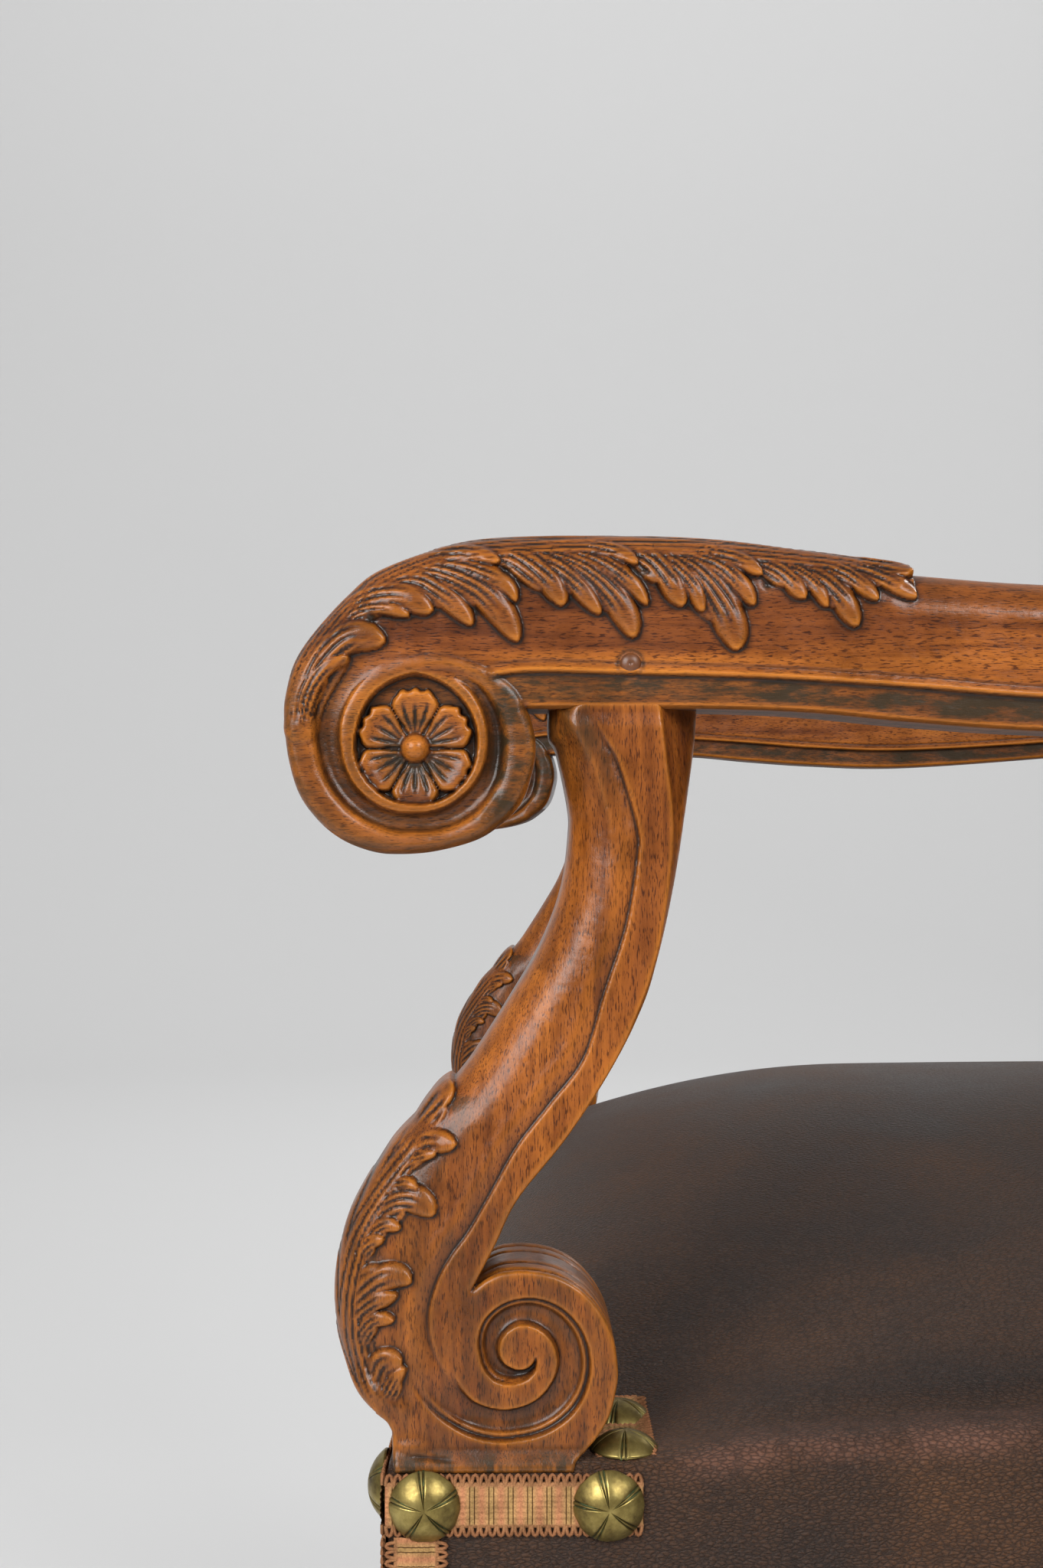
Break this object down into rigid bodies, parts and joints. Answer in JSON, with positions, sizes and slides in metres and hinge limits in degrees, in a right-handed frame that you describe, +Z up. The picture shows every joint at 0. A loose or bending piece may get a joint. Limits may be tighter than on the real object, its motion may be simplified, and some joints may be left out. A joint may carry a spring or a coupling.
{
  "type": "carved desk armchair",
  "caption": "Carved walnut desk armchair: scrolled arms with leaf carving on S-scroll supports, domed leather seat, gimp braid and brass nails, padded leather back.",
  "frame": {"origin": "on the floor under the middle of the chair's box", "axes": "+Z up, the chair faces -Y, +X is the sitter's left"},
  "size_m": [0.651, 0.6454, 0.9767],
  "materials": {
    "walnut": "waxed satin, dark in the recesses",
    "plain_wood": "bare",
    "screw_steel": "dull",
    "spring_steel": "coppered, dull",
    "webbing": "woven jute",
    "hessian": "open weave",
    "horsehair": "curled hair",
    "brown_leather": "polished, worn warm on the edges",
    "black_cloth": "matt",
    "gimp_braid": "ribbed braid",
    "aged_brass": "polished domes with dark grooves"
  },
  "bodies": {
    "root": {"arm_console_left": "walnut", "arm_console_right": "walnut", "arm_left": "walnut", "arm_pegs": "plain_wood", "arm_right": "walnut", "back_gimp": "gimp_braid", "back_hessian": "hessian", "back_leather": "brown_leather", "back_nails": "aged_brass", "back_post_left": "walnut", "back_post_right": "walnut", "back_seat_rail": "walnut", "back_stuffing": "horsehair", "back_webbing": "webbing", "corner_block_screws": "screw_steel", "corner_blocks": "plain_wood", "crest_rail": "walnut", "cross_stretcher": "walnut", "dust_cover": "black_cloth", "front_leg_left": "walnut", "front_leg_right": "walnut", "front_seat_rail": "walnut", "lower_back_rail": "walnut", "outside_back_leather": "brown_leather", "rail_pegs": "plain_wood", "seat_gimp": "gimp_braid", "seat_hessian": "hessian", "seat_leather": "brown_leather", "seat_nails": "aged_brass", "seat_springs": "spring_steel", "seat_stuffing": "horsehair", "seat_webbing": "webbing", "side_seat_rail_left": "walnut", "side_seat_rail_right": "walnut", "side_stretcher_left": "walnut", "side_stretcher_right": "walnut", "stretcher_pegs": "plain_wood"}
  },
  "joints": []
}
